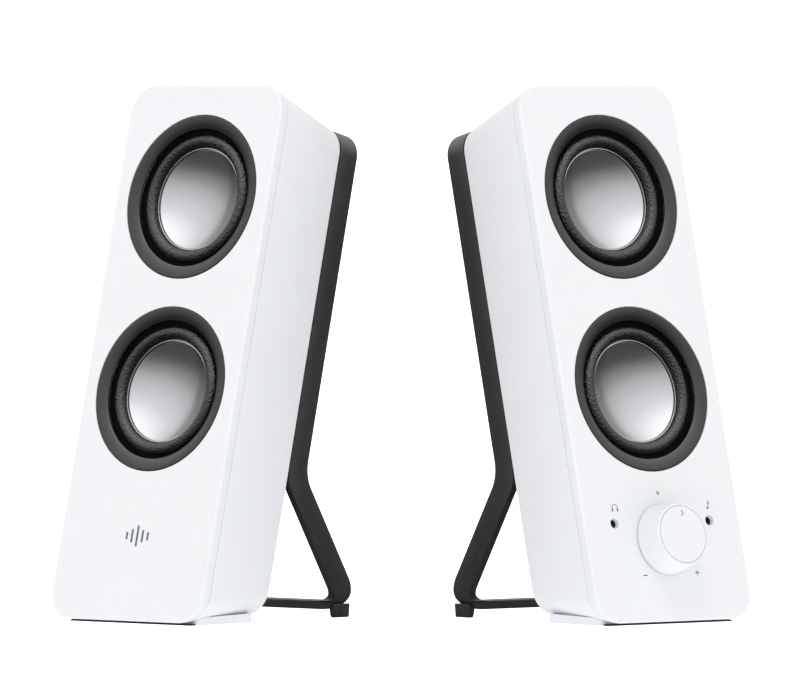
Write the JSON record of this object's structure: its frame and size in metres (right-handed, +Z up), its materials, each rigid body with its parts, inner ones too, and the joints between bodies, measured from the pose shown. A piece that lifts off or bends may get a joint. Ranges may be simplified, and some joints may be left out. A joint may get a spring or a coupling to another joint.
{
  "type": "desktop speakers",
  "caption": "Pair of leaning white desktop speakers on dark bent-bar stands, with round drivers, a volume knob and front sockets.",
  "frame": {"origin": "middle of the desk area that the pair covers, on the desk surface", "axes": "+X from the left speaker to the right speaker, as the listener sees them; -Y towards the listener; +Z up"},
  "size_m": [0.3138, 0.141, 0.2404],
  "materials": {
    "white_plastic": "satin",
    "charcoal_plastic": "fine matte grain",
    "trim_plastic": "satin",
    "surround_rubber": "fine grain with a soft sheen",
    "cone_finish": "silver satin",
    "foot_rubber": "matte",
    "black_plastic": "satin",
    "steel": "zinc plated",
    "dark_screw": "black oxide",
    "ferrite": "sintered, matte",
    "copper": "enamelled wire",
    "spider_cloth": "resin-dipped cloth",
    "circuit_board": "solder mask",
    "green_light": "clear light pipe"
  },
  "bodies": {
    "right_speaker": {"right_front_baffle": "white_plastic", "right_cabinet_shell": "white_plastic", "right_back_cover": "charcoal_plastic", "right_cover_screw_a": "dark_screw", "right_cover_screw_b": "dark_screw", "right_upper_trim_ring": "trim_plastic", "right_upper_basket": "steel", "right_upper_surround": "surround_rubber", "right_upper_spider": "spider_cloth", "right_upper_front_plate": "steel", "right_upper_magnet": "ferrite", "right_upper_back_plate": "steel", "right_lower_trim_ring": "trim_plastic", "right_lower_basket": "steel", "right_lower_surround": "surround_rubber", "right_stand_frame": "charcoal_plastic", "right_base_foot": "white_plastic", "right_front_foot_strip": "foot_rubber", "right_rear_foot_inner": "foot_rubber", "right_rear_foot_outer": "foot_rubber", "volume_pot": "black_plastic", "headphone_jack": "black_plastic", "aux_jack": "black_plastic", "power_light": "green_light", "control_board": "circuit_board", "amplifier_board": "circuit_board", "power_inlet": "black_plastic", "line_in_socket": "black_plastic", "speaker_socket": "black_plastic"},
    "volume_control": {"volume_knob": "white_plastic", "volume_shaft": "steel"},
    "right_upper_diaphragm": {"right_upper_cone": "cone_finish", "right_upper_voice_coil": "copper"},
    "right_lower_diaphragm": {"right_lower_cone": "cone_finish", "right_lower_tuning_mass": "steel"},
    "left_speaker": {"left_front_baffle": "white_plastic", "left_cabinet_shell": "white_plastic", "left_back_cover": "charcoal_plastic", "left_cover_screw_a": "dark_screw", "left_cover_screw_b": "dark_screw", "left_upper_trim_ring": "trim_plastic", "left_upper_basket": "steel", "left_upper_surround": "surround_rubber", "left_upper_spider": "spider_cloth", "left_upper_front_plate": "steel", "left_upper_magnet": "ferrite", "left_upper_back_plate": "steel", "left_lower_trim_ring": "trim_plastic", "left_lower_basket": "steel", "left_lower_surround": "surround_rubber", "left_stand_frame": "charcoal_plastic", "left_base_foot": "white_plastic", "left_front_foot_strip": "foot_rubber", "left_rear_foot_inner": "foot_rubber", "left_rear_foot_outer": "foot_rubber", "cable_gland": "foot_rubber"},
    "left_upper_diaphragm": {"left_upper_cone": "cone_finish", "left_upper_voice_coil": "copper"},
    "left_lower_diaphragm": {"left_lower_cone": "cone_finish", "left_lower_tuning_mass": "steel"}
  },
  "joints": [
    {"name": "volume_turn", "type": "hinge", "parent": "right_speaker", "child": "volume_control", "pos_m": [0.12233, -0.04204, 0.03881], "axis": [-0.6161, 0.7501, -0.2402], "range_deg": [-158, 142]},
    {"name": "right_upper_throw", "type": "slide", "parent": "right_speaker", "child": "right_upper_diaphragm", "axis": [0.6161, -0.7501, 0.2402], "range_m": [-0.002, 0.002], "stiffness_N_per_m": 1000, "deforming": ["right_upper_surround", "right_upper_spider"]},
    {"name": "right_lower_throw", "type": "slide", "parent": "right_speaker", "child": "right_lower_diaphragm", "axis": [0.6161, -0.7501, 0.2402], "range_m": [-0.002, 0.002], "stiffness_N_per_m": 800, "deforming": ["right_lower_surround"]},
    {"name": "left_upper_throw", "type": "slide", "parent": "left_speaker", "child": "left_upper_diaphragm", "axis": [-0.6161, -0.7501, 0.2402], "range_m": [-0.002, 0.002], "stiffness_N_per_m": 1000, "deforming": ["left_upper_surround", "left_upper_spider"]},
    {"name": "left_lower_throw", "type": "slide", "parent": "left_speaker", "child": "left_lower_diaphragm", "axis": [-0.6161, -0.7501, 0.2402], "range_m": [-0.002, 0.002], "stiffness_N_per_m": 800, "deforming": ["left_lower_surround"]},
    {"name": "left_speaker_placement", "type": "slide", "parent": "right_speaker", "child": "left_speaker", "axis": [-1, 0, 0], "range_m": [-0.03, 0.3]}
  ]
}
